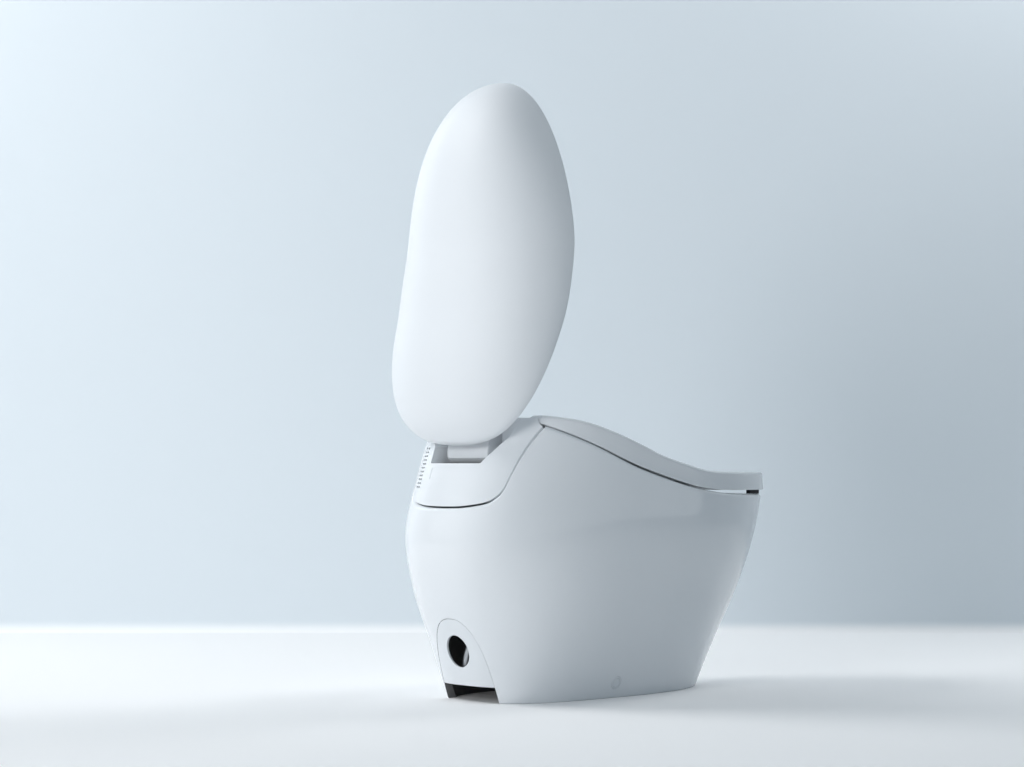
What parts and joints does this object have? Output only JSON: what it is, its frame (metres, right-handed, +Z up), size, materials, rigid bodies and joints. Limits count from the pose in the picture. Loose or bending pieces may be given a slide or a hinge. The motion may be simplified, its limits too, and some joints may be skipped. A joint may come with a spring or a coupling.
{
  "type": "smart toilet",
  "caption": "Floor-standing smart toilet: skirted ceramic bowl with swept saddle rim, domed lid on a hinge drum, heated seat, spray wand, dryer and rear cover.",
  "frame": {"origin": "on the floor under the middle of the bounding box, with the lid open and the seat down", "axes": "+Z up, -Y towards the front of the bowl, -X towards the right hand of a seated user"},
  "size_m": [0.4246, 0.7985, 1.1252],
  "materials": {
    "ceramic": "glossy glaze",
    "white": "gloss",
    "grey": "matt",
    "dark": "matt",
    "rubber": "matt",
    "steel": "brushed",
    "brass": "satin",
    "green": "matt"
  },
  "bodies": {
    "toilet": {"access_panel": "white", "bowl_body": "ceramic", "control_box": "green", "deodoriser_fan_casing": "grey", "dryer_fan_casing": "grey", "filter_cassette": "dark", "floor_bracket_left": "grey", "floor_bracket_right": "grey", "flush_pump": "dark", "inlet_elbow": "brass", "inlet_hose": "grey", "lid_drive": "grey", "lid_hinge_bracket": "grey", "lid_hinge_pin_left": "steel", "lid_hinge_pin_right": "steel", "nozzle_housing": "white", "outlet_seal": "rubber", "outlet_socket": "grey", "power_gland": "rubber", "rear_cover": "white", "seat_drive": "dark", "seat_hinge_carrier_left": "grey", "seat_hinge_carrier_right": "grey", "seat_hinge_pin_left": "steel", "seat_hinge_pin_right": "steel", "side_cap_left": "white", "side_cap_right": "white", "side_screw_left": "steel", "side_screw_right": "steel", "unit_tray": "grey", "valve_block": "white", "wand_cradle": "grey", "water_heater": "steel"},
    "lid": {"lid_shell": "white", "lid_liner": "white", "lid_drum": "white", "lid_bumper_left": "rubber", "lid_bumper_right": "rubber"},
    "seat": {"seat_shell": "white", "seat_base": "white", "seat_heater": "dark", "seat_bumper_front_left": "rubber", "seat_bumper_front_right": "rubber", "seat_bumper_rear_left": "rubber", "seat_bumper_rear_right": "rubber"},
    "wand": {"wand": "white", "wand_tip": "grey"},
    "nozzle_flap": {"nozzle_flap": "white"},
    "dryer_flap": {"dryer_flap": "white"},
    "dryer_wheel": {"dryer_impeller": "dark"},
    "deodoriser_wheel": {"deodoriser_impeller": "dark"}
  },
  "joints": [
    {"name": "lid_hinge", "type": "hinge", "parent": "toilet", "child": "lid", "pos_m": [0, 0.2811, 0.4456], "axis": [1, 0, 0], "range_deg": [0, 90]},
    {"name": "seat_hinge", "type": "hinge", "parent": "toilet", "child": "seat", "pos_m": [0, 0.2745, 0.5025], "axis": [1, 0, 0], "range_deg": [-87, 0]},
    {"name": "wand_slide", "type": "slide", "parent": "toilet", "child": "wand", "axis": [0, -0.766, -0.6428], "range_m": [0, 0.085]},
    {"name": "nozzle_flap_hinge", "type": "hinge", "parent": "toilet", "child": "nozzle_flap", "pos_m": [0, 0.08722, 0.37968], "axis": [1, 0, 0], "range_deg": [-108, 0]},
    {"name": "dryer_flap_hinge", "type": "hinge", "parent": "toilet", "child": "dryer_flap", "pos_m": [-0.044, 0.08722, 0.37968], "axis": [1, 0, 0], "range_deg": [-60, 0]},
    {"name": "dryer_fan_spin", "type": "hinge", "parent": "toilet", "child": "dryer_wheel", "pos_m": [-0.044, 0.174, 0.42], "axis": [1, 0, 0], "continuous": true},
    {"name": "deodoriser_fan_spin", "type": "hinge", "parent": "toilet", "child": "deodoriser_wheel", "pos_m": [0.044, 0.174, 0.42], "axis": [1, 0, 0], "continuous": true}
  ],
  "couplings": [
    {"joint": "nozzle_flap_hinge", "follows": "wand_slide", "rad_per_m": -22.155}
  ]
}
